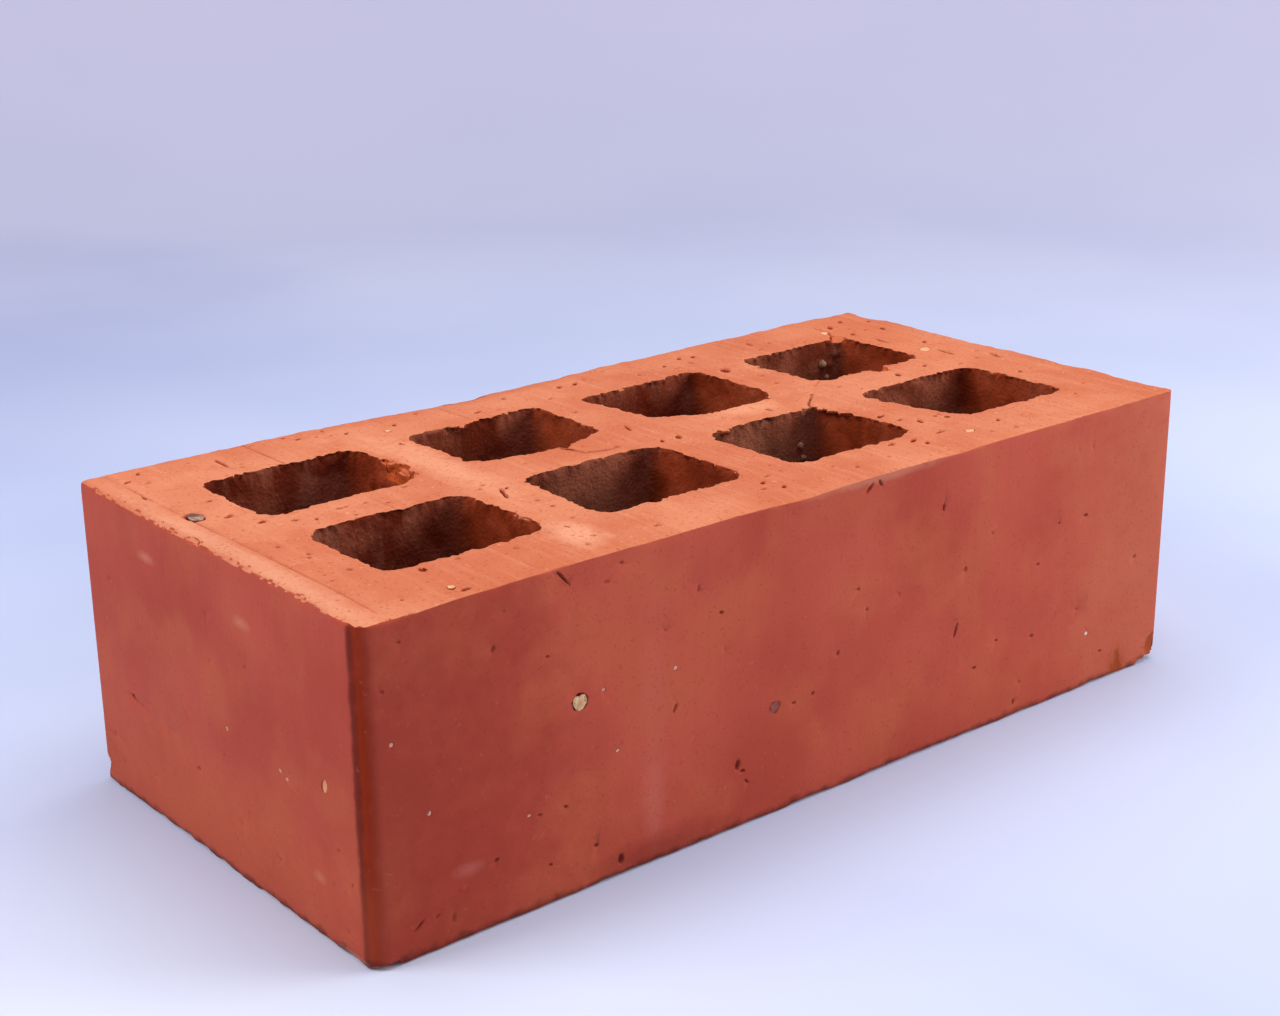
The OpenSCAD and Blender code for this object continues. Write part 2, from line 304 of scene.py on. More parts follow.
def prism(name, outline, z0, z1, corner=0.0, segments=8):
    """An upright bar of this outline, its upright edges rounded to the corner radius."""
    deselect()
    bpy.ops.mesh.primitive_circle_add(vertices=len(outline), fill_type="NGON")
    obj = bpy.context.object
    obj.name = name
    for vertex, (x, y) in zip(obj.data.vertices, outline):
        vertex.co = Vector((x, y, z0)) * MM
    bpy.ops.object.mode_set(mode="EDIT")
    bpy.ops.mesh.extrude_region_move(TRANSFORM_OT_translate={"value": (0, 0, (z1 - z0) * MM)})
    bpy.ops.mesh.select_all(action="SELECT")
    bpy.ops.mesh.normals_make_consistent(inside=False)
    bpy.ops.mesh.select_mode(type="EDGE")
    bpy.ops.mesh.select_all(action="DESELECT")
    bpy.ops.object.mode_set(mode="OBJECT")
    if corner > 0:
        for edge in obj.data.edges:
            foot, head = (obj.data.vertices[i].co.z for i in edge.vertices)
            edge.select = abs(head - foot) > MM
        bpy.ops.object.mode_set(mode="EDIT")
        bpy.ops.mesh.bevel(offset=corner * MM, segments=segments, affect="EDGES")
        bpy.ops.object.mode_set(mode="OBJECT")
    return obj


def points_of(obj):
    """The mesh's points as an array, in millimetres."""
    flat = np.zeros(len(obj.data.vertices) * 3, np.float32)
    obj.data.vertices.foreach_get("co", flat)
    return flat.reshape(-1, 3).astype(float) / MM


def set_points(obj, points):
    """Gives the mesh these points, in millimetres."""
    obj.data.vertices.foreach_set("co", (points * MM).astype(np.float32).ravel())
    obj.data.update()


def middles_and_normals(obj):
    """Middle and normal of each of the mesh's faces."""
    middle = np.zeros(len(obj.data.polygons) * 3, np.float32)
    normal = np.zeros(len(obj.data.polygons) * 3, np.float32)
    obj.data.polygons.foreach_get("center", middle)
    obj.data.polygons.foreach_get("normal", normal)
    return middle.reshape(-1, 3) / MM, normal.reshape(-1, 3)


LATTICE = 32            # random values each way, after which the noise repeats
SEED_STEP = 7.31        # how far each seed moves along the lattice
LATTICE_START = 100
lattice = np.random.default_rng(SEED).uniform(-1, 1, (LATTICE, LATTICE, LATTICE))


def lumps(points, size, seed=0):
    """Smooth noise from -1 to 1 whose lumps are about size across. size is one number or three."""
    place = points / np.asarray(size, float) + seed * SEED_STEP + LATTICE_START
    cell = np.floor(place).astype(int)
    t = place - cell
    t = t * t * (3 - 2 * t)
    total = 0
    for step in np.ndindex(2, 2, 2):
        weight = np.prod(np.where(step, t, 1 - t), axis=1)
        corner = (cell + step) % LATTICE
        total = total + weight * lattice[corner[:, 0], corner[:, 1], corner[:, 2]]
    return total


def inset(outline, distance):
    """A clockwise outline's corners, moved in by the distance from both of their sides."""
    corners = np.array(outline, float)
    along = np.roll(corners, -1, axis=0) - corners
    along /= np.linalg.norm(along, axis=1)[:, None]
    after = np.stack([along[:, 1], -along[:, 0]], axis=1)
    before = np.roll(after, 1, axis=0)
    return corners + (before + after) * (distance / (1 + (before * after).sum(axis=1)))[:, None]


def outline_reach(points, outline, radius):
    """How far each point is outside an outline with round corners, and the way straight out."""
    gap = np.full(len(points), np.inf)
    nearest = np.zeros((len(points), 2))
    inside = np.zeros(len(points), bool)
    x, y = points[:, 0], points[:, 1]
    corners = inset(outline, radius)
    for a, b in zip(corners, np.roll(corners, -1, axis=0)):
        along = b - a
        part = np.clip(((points[:, :2] - a) @ along) / (along @ along), 0, 1)
        foot = a + part[:, None] * along
        distance = np.linalg.norm(points[:, :2] - foot, axis=1)
        closer = distance < gap
        gap[closer] = distance[closer]
        nearest[closer] = foot[closer]
        rise = along[1] if abs(along[1]) > 1e-9 else 1e-9
        inside ^= ((a[1] > y) != (b[1] > y)) & (x < a[0] + (y - a[1]) / rise * along[0])
    side = np.where(inside, -1, 1)
    way = (points[:, :2] - nearest) / np.maximum(gap, 1e-9)[:, None] * side[:, None]
    return gap * side - radius, way


def core_reach(points):
    """How far each point is outside the nearest core, and the way straight out into the clay."""
    reach = np.full(len(points), np.inf)
    way = np.zeros((len(points), 2))
    for outline, corner in core_outlines:
        near = np.all(np.abs(points[:, :2] - outline.mean(axis=0)) < CORE_SPAN, axis=1)
        i = np.flatnonzero(near)
        this_reach, this_way = outline_reach(points[i], outline, corner)
        closer = this_reach < reach[i]
        reach[i[closer]] = this_reach[closer]
        way[i[closer]] = this_way[closer]
    return reach, way


def line_gap(u, v, line):
    """How far each place is from a line through these points."""
    gap = np.full(len(u), np.inf)
    for (u0, v0), (u1, v1) in zip(line, line[1:]):
        span = (u1 - u0) ** 2 + (v1 - v0) ** 2
        part = np.clip(((u - u0) * (u1 - u0) + (v - v0) * (v1 - v0)) / span, 0, 1)
        gap = np.minimum(gap, np.hypot(u - u0 - part * (u1 - u0), v - v0 - part * (v1 - v0)))
    return gap


# ---------------------------------------------------------------- the camera

def place_camera():
    """A 59 mm lens a forearm away, seen from the near left corner and a little above."""
    azimuth, elevation, roll = (math.radians(angle) for angle in (-39.4, 18.73, -0.64))
    distance, aside, above = 447.5, -4.3, 15.5
    right = Vector((math.cos(azimuth), math.sin(azimuth), 0))
    back = Vector((
        math.sin(azimuth) * math.cos(elevation),
        -math.cos(azimuth) * math.cos(elevation),
        math.sin(elevation),
    ))
    up = back.cross(right)
    target = Vector((0, 0, HEIGHT / 2 + above)) + right * aside
    turned_right = right * math.cos(roll) + up * math.sin(roll)
    turned_up = up * math.cos(roll) - right * math.sin(roll)
    turn = Matrix((turned_right, turned_up, back)).transposed()
    data = bpy.data.cameras.new("camera")
    data.lens = 59
    data.sensor_width = 36
    data.clip_start = 0.01
    camera = bpy.data.objects.new("camera", data)
    bpy.context.scene.collection.objects.link(camera)
    camera.matrix_world = Matrix.Translation((target + back * distance) * MM) @ turn.to_4x4()
    bpy.context.scene.camera = camera


place_camera()


# ---------------------------------------------------------------- the clay body

def strewn_pits(face, taken):
    """Small pits at random places of a face, clear of its edges, its cores and what is there already."""
    a, b, n, side, level = FACES[face]
    count, least, most = STREWN_PITS[face]
    from_edge, apart, from_core = 3, 3, 2
    on_bed = face in ("upper_bed", "lower_bed")
    # How dark the pits are painted: dark clay and painted shade.
    darkness = 0.6 if on_bed else 0.2
    draw = np.random.default_rng(SEED + list(FACES).index(face))
    size = (LENGTH, WIDTH, HEIGHT)
    start = (-HALF_L, -HALF_W, 0)
    pits = []
    while len(pits) < count:
        u, v = (start[axis] + draw.uniform(from_edge, size[axis] - from_edge) for axis in (a, b))
        width = draw.uniform(least, most)
        turn = draw.uniform(0, 180)
        long = width * draw.uniform(1, 1.7)
        clear = all(math.hypot(u - other[0], v - other[1]) > apart for other in taken)
        if on_bed:
            clear = clear and core_reach(np.array([[u, v, level]]))[0][0] > from_core
        if clear:
            pits.append((u, v, long, width, turn, width * draw.uniform(0.25, 0.5), darkness))
    return pits


def all_hollows():
    """Every hollow of each face, the sockets of its stones too, each with how dark it is painted inside: dark
    clay and painted shade.
    """
    hollows = {face: [] for face in FACES}
    for face, places in HOLLOWS.items():
        longer, wider, deeper, darker = HOLLOW_FORM["bed" if face == "upper_bed" else "skin"]
        for u, v, long, wide, turn, depth in places:
            form = (long * longer, wide * wider, turn, depth * deeper, depth * darker)
            hollows[face].append((u, v) + form)
    for face, stones in STONES.values():
        for u, v, long, wide, turn in stones:
            gap = SOCKET_GAP * wide
            depth = SOCKET_DEPTH * wide
            hollows[face].append((u, v, long + gap, wide + gap, turn, depth, SOCKET_DARKNESS))
    for face in FACES:
        hollows[face] += strewn_pits(face, hollows[face])
    return hollows


def extrude_and_cut():
    """The column of clay with its cores, as the die and the wires leave it, and the clay they dragged."""
    past = 5    # the formers run past the bed faces
    block = prism("fired_clay", block_outline, 0, HEIGHT, ARRIS)
    formers = [
        prism("core_former", outline, -past, HEIGHT + past, corner) for outline, corner in core_outlines
    ]
    former = join(formers, "core_formers")
    apply_modifier(block, "BOOLEAN", operation="DIFFERENCE", object=former, solver="EXACT")
    bpy.data.objects.remove(former)
    added = [prism("dragged_clay", outline, bottom, top) for outline, top, bottom in DRAGGED_CLAY]
    for middle, reach in TORN_LUMPS:
        deselect()
        bpy.ops.mesh.primitive_ico_sphere_add(
            subdivisions=3, radius=1, location=Vector(middle) * MM, scale=Vector(reach) * MM,
        )
        added.append(settle(bpy.context.object))
    block = join([block] + added, "fired_clay")
    apply_modifier(block, "REMESH", mode="VOXEL", voxel_size=GRID * MM)
    return block


def refine(block, hollows):
    """Halves the mesh where small marks and rims need it."""
    middle, normal = middles_and_normals(block)
    fine = np.zeros(len(middle), bool)
    room, near_face, rim_depth, rim_width = 0.5, 0.4, 1.6, 1
    for face in ("upper_bed", "front", "left"):
        a, b, n, side, level = FACES[face]
        i = np.flatnonzero(np.abs(middle[:, n] - level) < near_face)
        u, v = middle[i, a], middle[i, b]
        close = np.zeros(len(i), bool)
        for at_u, at_v, long, *others in hollows[face]:
            close |= np.hypot(u - at_u, v - at_v) < long / 2 + room
        for line, width, depth in PLOUGHED.get(face, []):
            close |= line_gap(u, v, line) < width / 2 + room
        fine[i[close]] = True
    reach = core_reach(middle)[0]
    fine |= (middle[:, 2] > HEIGHT - rim_depth) & (reach < rim_width)
    block.data.polygons.foreach_set("select", fine)
    only(block)
    bpy.ops.object.mode_set(mode="EDIT")
    bpy.ops.mesh.select_mode(type="FACE")
    bpy.ops.mesh.subdivide(number_cuts=1)
    bpy.ops.object.mode_set(mode="OBJECT")


def square_up(points):
    """Puts the outer faces back on their true planes and arrises after the remesh."""
    reach, way = outline_reach(points, block_outline, ARRIS)
    near = np.abs(reach) < SNAP
    points[near, :2] -= (way * reach[:, None])[near]
    reach, way = outline_reach(points, block_outline, NEAR_ARRIS)
    rounder = (reach > 0) & (points[:, 0] < 0) & (points[:, 1] < 0)
    points[rounder, :2] -= (way * reach[:, None])[rounder]
    for level in (0, HEIGHT):
        points[np.abs(points[:, 2] - level) < SNAP, 2] = level


def sand_cores(points, start, reach, way):
    """Gives the cores' walls the upright drag lines and grain that the core formers leave."""
    on_wall, grain_depth = 0.8, 14
    i = np.flatnonzero(np.abs(reach) < on_wall)
    at = start[i]
    drag = 0.16 * lumps(at, (1.7, 1.7, 34), 1) + 0.22 * lumps(at, (5, 5, 60), 2)
    grain = 0.13 * lumps(at, 1.3, 3) * np.exp(-(HEIGHT - at[:, 2]) / grain_depth)
    points[i, :2] += way[i] * (drag + grain)[:, None]


def tear_rims(points, start, reach, way, dark):
    """Tears the rims of the cores as the cutting wires do: notches, small teeth and a sagging lip. Also
    paints shade in a ragged band down the wall under each rim.
    """
    for level in (0, HEIGHT):
        below = np.abs(start[:, 2] - level)
        i = np.flatnonzero((np.abs(reach) < 2) & (below < 6))
        at = start[i]
        notches = 0.35 * lumps(at, (2.4, 2.4, 4), 4) + 0.3 * lumps(at, (6, 6, 7), 5)
        tear = notches + 0.72 * lumps(at, (0.9, 0.9, 1.6), 6)
        fade = np.exp(-below[i] / 1.6 - np.maximum(reach[i], 0) / 0.7)
        points[i, :2] += way[i] * (np.clip(tear, -0.4, 1.2) * fade)[:, None]
        lip = np.clip(lumps(at, 2.4, 7), 0, 1) * 0.5 + 0.1
        sag = lip * np.exp(-below[i] / 0.3 - np.abs(reach[i]) / 0.6)
        points[i, 2] += np.sign(HEIGHT / 2 - level) * sag
        # Painted shade: a ragged dark band down the top of the wall, under the rim.
        rim_shade_reach = RIM_SHADE_DEPTH + 0.7 * lumps(at, (0.8, 0.8, 4), 21) + 0.5 * lumps(at, (4, 4, 9), 22)
        on_wall = (below[i] > 0.3) & (np.abs(reach[i]) < 1)
        shade = np.clip((rim_shade_reach - below[i]) * 2.5, 0, 0.75) * on_wall
        dark[i] = np.maximum(dark[i], shade)


def wear_edges(points, start):
    """Rounds and crumbles the edges between the bed faces and the sides."""
    reach, way = outline_reach(start, block_outline, ARRIS)
    for level in (0, HEIGHT):
        from_edge = np.hypot(reach, start[:, 2] - level)
        i = np.flatnonzero(from_edge < 5)
        at = start[i]
        wear = 0.22 + 0.25 * lumps(at, 8, 8) + 0.18 * lumps(at, 2.2, 9)
        wear = np.clip(wear, 0.05, 1) * np.exp(-from_edge[i] / 0.9)
        points[i, 2] += np.sign(HEIGHT / 2 - level) * wear
        points[i, :2] -= way[i] * wear[:, None]


def wear_low(points, start):
    """Lowers the upper bed face where it is worn, mostly along its far edge."""
    layer = 6    # the clay below this depth keeps its place
    i = np.flatnonzero(start[:, 2] > HEIGHT - layer)
    at = start[i]
    fade = np.clip((at[:, 2] - HEIGHT + layer) / layer, 0, 1)
    for (x, y), (reach_x, reach_y), depth in WORN_LOW:
        away = ((at[:, 0] - x) / reach_x) ** 2 + ((at[:, 1] - y) / reach_y) ** 2
        points[i, 2] -= depth * np.exp(-1.5 * away) * fade * (1 + 0.3 * lumps(at, 4, 10))


def bite_out(points, middle, reach, fresh, freshness):
    """Scoops clay out with an oval scoop that has a rough face, and bares fresh clay there."""
    off = (points - middle) / reach
    i = np.flatnonzero((off ** 2).sum(axis=1) < 1.7)
    off = off[i]
    span = np.maximum(np.linalg.norm(off, axis=1), 1e-6)
    rough = 1 + 0.13 * lumps(points[i], 1.6, 11) + 0.08 * lumps(points[i], 0.7, 12)
    hit = span < rough
    points[i[hit]] = middle + (off / span[:, None] * rough[:, None])[hit] * reach
    fresh[i] = np.maximum(fresh[i], np.clip((rough * 1.05 - span) * 12, 0, freshness))


def crumbs():
    """Small bites at random places along the edges that crumble."""
    draw = np.random.default_rng(SEED + 50)
    bites = []
    for start, end, count, most in CRUMBLED_EDGES:
        along = np.array(end, float) - start
        lengthwise = np.abs(along) > 1
        for part in draw.uniform(0, 1, count):
            reach = np.where(lengthwise, most * draw.uniform(0.6, 2), most * draw.uniform(0.6, 1.1, 3))
            bites.append((start + along * part, reach))
    return bites


def wave_faces(points, start):
    """Lets each face wander a little behind its true plane."""
    for a, b, n, side, level in FACES.values():
        i = np.flatnonzero(np.abs(start[:, n] - level) < ON_FACE)
        at = start[i]
        dip = 0.07 * (1 + lumps(at, 26, 13)) + 0.02 * (1 + lumps(at, 7, 14))
        if n == 2:
            dip += 0.03 * (1 + lumps(at, (1.6, 14, 5), 15)) + 0.02 * (1 + lumps(at, 1.4, 16))
        points[i, n] -= side * dip


def press_hollow(points, start, on_face, face, hollow, dark):
    """Presses an oval hollow with an uneven rim into a face, and paints it darker inside with dark clay and
    painted shade.
    """
    a, b, n, side, level = FACES[face]
    u, v, long, wide, turn, depth, darkness = hollow
    du, dv = start[on_face, a] - u, start[on_face, b] - v
    close = np.hypot(du, dv) < long
    i, du, dv = on_face[close], du[close], dv[close]
    cos, sin = math.cos(math.radians(turn)), math.sin(math.radians(turn))
    along = (du * cos + dv * sin) / (long / 2)
    across = (dv * cos - du * sin) / (wide / 2)
    reach = np.hypot(along, across) * (1 + 0.22 * lumps(start[i], 0.9, 17))
    cut = np.sqrt(np.clip(1 - reach ** 2, 0, 1))
    points[i, n] -= side * depth * cut
    # Darker inside the hollow: dark clay and painted shade.
    dark[i] = np.maximum(dark[i], np.clip((cut - 0.3) * 2.4, 0, 1) * min(1, darkness))


def plough_line(points, start, on_face, face, mark, dark):
    """Ploughs a line into a face, deeper in some places than in others, and darkens it with painted shade."""
    a, b, n, side, level = FACES[face]
    line, width, depth = mark
    gap = line_gap(start[on_face, a], start[on_face, b], line)
    i, gap = on_face[gap < width], gap[gap < width]
    strength = 0.75 + 0.5 * lumps(start[i], 5, 18) + 0.2 * lumps(start[i], 1.5, 19)
    cut = np.clip(1 - (gap / (width / 2)) ** 2, 0, 1) * np.clip(strength, 0.1, 1.2)
    points[i, n] -= side * depth * cut
    # Painted shade along the groove.
    dark[i] = np.maximum(dark[i], np.clip(cut * min(1, depth * 1.6), 0, 1))


def work_the_clay(block, hollows):
    """Works all marks into the fine mesh, and notes where the clay is painted darker, as dark clay and
    painted shade, and where it is freshly broken.
    """
    points = points_of(block)
    square_up(points)
    start = points.copy()
    dark, fresh = np.zeros(len(points)), np.zeros(len(points))
    reach, way = core_reach(start)
    sand_cores(points, start, reach, way)
    tear_rims(points, start, reach, way, dark)
    wear_edges(points, start)
    wear_low(points, start)
    wave_faces(points, start)
    for middle, size in BITES:
        bite_out(points, np.array(middle), np.array(size), fresh, 1)
    for middle, size in crumbs():
        bite_out(points, np.array(middle), np.array(size), fresh, CRUMB_FRESHNESS)
    for face, (a, b, n, side, level) in FACES.items():
        on_face = np.flatnonzero(np.abs(start[:, n] - level) < ON_FACE)
        for hollow in hollows[face]:
            press_hollow(points, start, on_face, face, hollow, dark)
        for mark in PLOUGHED.get(face, []):
            plough_line(points, start, on_face, face, mark, dark)
    set_points(block, np.clip(points, low, high))
    # The first attribute holds dark clay and painted shade, the second freshly broken clay.
    for name, values in (("dark_clay_and_painted_shade", dark), ("fresh_clay", fresh)):
        attribute = block.data.attributes.new(name, "FLOAT", "POINT")
        attribute.data.foreach_set("value", values.astype(np.float32))


def thin_out(block):
    """Takes away the triangles that flat clay doesn't need."""
    block.data.calc_loop_triangles()
    apply_modifier(block, "DECIMATE", ratio=TRIANGLES / len(block.data.loop_triangles))
    only(block)
    bpy.ops.object.shade_smooth_by_angle(angle=SMOOTH_UNDER)


hollows = all_hollows()
block = extrude_and_cut()
refine(block, hollows)
work_the_clay(block, hollows)
thin_out(block)


# ---------------------------------------------------------------- the stones

def roughen(points, size, seed):
    """Knocks a smooth ball into an uneven grain."""
    return points * (1 + 0.16 * lumps(points, size, seed) + 0.07 * lumps(points, size / 3, seed + 1))[:, None]


def ball(detail):
    """A ball of radius 1 mm to shape a stone from."""
    deselect()
    bpy.ops.mesh.primitive_ico_sphere_add(subdivisions=detail, radius=MM)
    return bpy.context.object


def finish_stone(stone, points):
    """Gives the stone its points, and turns its faces outwards."""
    set_points(stone, points)
    only(stone)
    bpy.ops.object.mode_set(mode="EDIT")
    bpy.ops.mesh.select_all(action="SELECT")
    bpy.ops.mesh.normals_make_consistent(inside=False)
    bpy.ops.object.mode_set(mode="OBJECT")
    bpy.ops.object.shade_smooth_by_angle(angle=math.radians(50))
    return stone


def stone_in_face(face, stone, seed, outline=None):
    """A stone that fills its socket and was cut level with the face."""
    a, b, n, side, level = FACES[face]
    u, v, long, wide, turn = stone
    obj = ball(4 if long < 2 else 5)
    p = roughen(points_of(obj), 0.9, seed)
    if outline:
        angle = np.degrees(np.arctan2(p[:, 1], p[:, 0]))
        p[:, :2] *= np.interp(angle, np.arange(8) * 45, outline, period=360)[:, None]
    p *= (long / 2, wide / 2, wide / 2)
    p[:, 2] = np.minimum(p[:, 2], -0.12 - 0.04 * long + 0.11 * lumps(p, 1.1, seed + 2))
    cos, sin = math.cos(math.radians(turn)), math.sin(math.radians(turn))
    placed = np.zeros_like(p)
    placed[:, a] = u + p[:, 0] * cos - p[:, 1] * sin
    placed[:, b] = v + p[:, 0] * sin + p[:, 1] * cos
    placed[:, n] = level + side * p[:, 2]
    return finish_stone(obj, placed)


def grain_on_wall(middle, size, seed):
    """A grain that stands out of a core's wall."""
    obj = ball(4)
    p = roughen(points_of(obj), 0.7, seed) * size / 2
    return finish_stone(obj, p + middle)


# ---------------------------------------------------------------- materials

# Sand, grit and specks in the clay are drawn 0.7 to 1.2 mm across, coarser than most are, so that they show.

def linear(text):
    """A colour written as sRGB hex, as linear light."""
    parts = [int(text[i:i + 2], 16) / 255 for i in (1, 3, 5)]
    return tuple(c / 12.92 if c <= 0.04045 else ((c + 0.055) / 1.055) ** 2.4 for c in parts) + (1,)


def add(tree, kind, inputs, **settings):
    """Adds a node. An input is named or numbered, and is a value or the output that feeds it."""
    made = tree.nodes.new("ShaderNode" + kind)
    for key, value in settings.items():
        setattr(made, key, value)
    for key, value in inputs.items():
        if isinstance(value, bpy.types.NodeSocket):
            tree.links.new(value, made.inputs[key])
        else:
            made.inputs[key].default_value = value
    return made


def start_material(name, roughness, gloss):
    """A new material, its nodes, its shader, and the place on the object in millimetres."""
    made = bpy.data.materials.new(name)
    made.use_nodes = True
    tree = made.node_tree
    shader = tree.nodes["Principled BSDF"]
    shader.inputs["Roughness"].default_value = roughness
    shader.inputs["Specular IOR Level"].default_value = gloss
    place = add(tree, "TexCoord", {}).outputs["Object"]
    place = add(tree, "VectorMath", {0: place, "Scale": 1000}, operation="SCALE").outputs[0]
    return made, tree, shader, place


def pattern(tree, place, size, detail=2.0, stretch=(1, 1, 1), shift=0.0):
    """Cloudy noise from about 0.3 to 0.7, its spots about size millimetres, stretched along the axes."""
    place = add(tree, "Mapping", {"Vector": place, "Scale": stretch, "Location": (shift,) * 3}).outputs[0]
    return add(tree, "TexNoise", {"Vector": place, "Scale": 1 / size, "Detail": detail}).outputs[0]


def tint(tree, colour, amount, hex_colour, least=0.0, most=1.0, strength=1.0):
    """Lays a colour over another where the amount rises from least to most."""
    factor = add(tree, "MapRange", {
        "Value": amount, "From Min": least, "From Max": most, "To Min": 0, "To Max": strength,
    }).outputs[0]
    return add(tree, "Mix", {"Factor": factor, 6: colour, 7: linear(hex_colour)}, data_type="RGBA").outputs[2]


def patch(tree, place, colour, middle, reach, hex_colour, strength, edge):
    """Lays a soft-edged, uneven oval of a colour over another."""
    off = add(tree, "VectorMath", {0: place, 1: middle}, operation="SUBTRACT").outputs[0]
    off = add(tree, "VectorMath", {0: off, 1: reach}, operation="DIVIDE").outputs[0]
    span = add(tree, "VectorMath", {0: off}, operation="LENGTH").outputs["Value"]
    span = add(tree, "Math", {0: span, 1: edge}, operation="ADD").outputs[0]
    return tint(tree, colour, span, hex_colour, 1.75, 0.85, strength)


def marks(tree, colour, dark_hex, fresh_hex):
    """Shows fresh clay where it was broken; darkens the hollows with dark clay and painted shade, and the
    grooves, the stones' sockets and the wall under the cores' rims with painted shade.
    """
    fresh = add(tree, "Attribute", {}, attribute_name="fresh_clay").outputs["Fac"]
    dark = add(tree, "Attribute", {}, attribute_name="dark_clay_and_painted_shade").outputs["Fac"]
    colour = tint(tree, colour, fresh, fresh_hex, 0.2, 0.9, 0.8)
    return tint(tree, colour, dark, dark_hex, 0.15, 0.85, 0.9)


def raise_grain(tree, shader, height, distance):
    """Gives the surface a fine relief, its height in millimetres."""
    bump = add(tree, "Bump", {"Height": height, "Strength": 1, "Distance": distance * MM})
    tree.links.new(bump.outputs[0], shader.inputs["Normal"])


# Oval patches of another colour: middle, reach each way, colour, strength.
BED_PATCHES = [
    ((-105, -10, 65), (3, 50, 3), "#dfa080", 0.5),
    ((-53, -39, 65), (5, 8, 3), "#efb08c", 0.55),
    ((25, 1, 65), (9, 4, 3), "#eba981", 0.4),
    ((-48, 12, 65), (5, 24, 3), "#eba984", 0.5),
    ((90, 25, 65), (14, 34, 3), "#cc7048", 0.4),
    ((-10, 50, 65), (60, 5, 3), "#bd6244", 0.35),
]
SKIN_PATCHES = [
    # Painted shade: the front face darkens towards its near left end.
    ((-112, -51.5, 30), (44, 4, 60), "#8a3020", 0.6),
    ((-45, -51, 33), (3.4, 3, 30), "#c46a58", 0.15),
    ((-45, -51, 13), (3, 3, 9), "#c8705e", 0.25),
    ((-44, -51, 2.5), (18, 3, 3.5), "#7d2a1c", 0.5),
    ((14, -51, 64.3), (20, 3, 1.2), "#c58a6c", 0.4),
    ((92.8, -51, 2.6), (3.6, 3, 5), "#98400f", 0.9),
    ((106, -51, 3.4), (3, 3, 3.4), "#a3481c", 0.8),
    # Painted light: the front face brightens towards its right end.
    ((112, -51, 30), (40, 4, 70), "#bd6446", 0.55),
    # Painted shade: a dark strip down the rounded near arris, with a darker line where it turns into the left
    # face.
    ((-107.3, -50.2, 33), (1.9, 2.6, 70), "#8c2600", 0.92),
    ((-107.5, -48.4, 33), (1.2, 1, 70), "#5c1808", 0.75),
    ((-87.5, -51, 13.6), (3.2, 3, 1.4), "#c07264", 0.3),
    ((-107, 24, 56), (3, 3.5, 1.2), "#c98262", 0.5),
    ((-107, -12, 53.5), (3, 3, 1.3), "#c98262", 0.5),
    ((-107, -34, 12), (3, 2.2, 1.2), "#c98262", 0.5),
    ((-107, 10, 8), (3, 60, 14), "#c25e3c", 0.5),
    ((-107.4, -44, 0.5), (3, 5, 0.9), "#e0bfa8", 0.6),
]
CORE_PATCHES = [
    ((20, -7, 48), (16, 4, 20), "#b07a5e", 0.55),
    ((66, -7, 50), (16, 4, 20), "#a5684c", 0.35),
    ((64, 33, 50), (16, 4, 20), "#a5684c", 0.35),
    ((-24, -6, 50), (16, 4, 20), "#b07a5e", 0.35),
    ((20, 33, 50), (18, 4, 22), "#641400", 0.75),
    ((42, -20, 52), (5, 16, 20), "#4c1406", 0.4),
]


def wire_cut_clay():
    """Fired clay as the cutting wire left it: matt and salmon, with a dragged tooth and sandy grains."""
    made, tree, shader, place = start_material("wire_cut_fired_clay", 0.9, 0.08)
    cloud = pattern(tree, place, 24, 3)
    drag = pattern(tree, place, 1.8, 3, (1, 0.06, 1), 5)
    smudge = pattern(tree, place, 7, 4, shift=31)
    grit = pattern(tree, place, 0.8, 1, shift=11)
    sand = pattern(tree, place, 1.1, 1, shift=17)
    edge = pattern(tree, place, 3.5, 3, shift=23)
    colour = tint(tree, linear("#c46d4c"), cloud, "#d2825f", 0.35, 0.65)
    colour = tint(tree, colour, drag, "#e09672", 0.5, 0.75, 0.3)
    colour = tint(tree, colour, smudge, "#c36845", 0.5, 0.7, 0.5)
    for middle, reach, hex_colour, strength in BED_PATCHES:
        colour = patch(tree, place, colour, middle, reach, hex_colour, strength, edge)
    colour = tint(tree, colour, grit, "#a5492e", 0.62, 0.72, 0.45)
    colour = tint(tree, colour, sand, "#eab08a", 0.7, 0.78, 0.35)
    colour = marks(tree, colour, "#801a08", "#c8704c")
    tree.links.new(colour, shader.inputs["Base Color"])
    relief = add(tree, "Math", {0: drag, 1: grit}, operation="ADD").outputs[0]
    raise_grain(tree, shader, relief, 0.22)
    return made


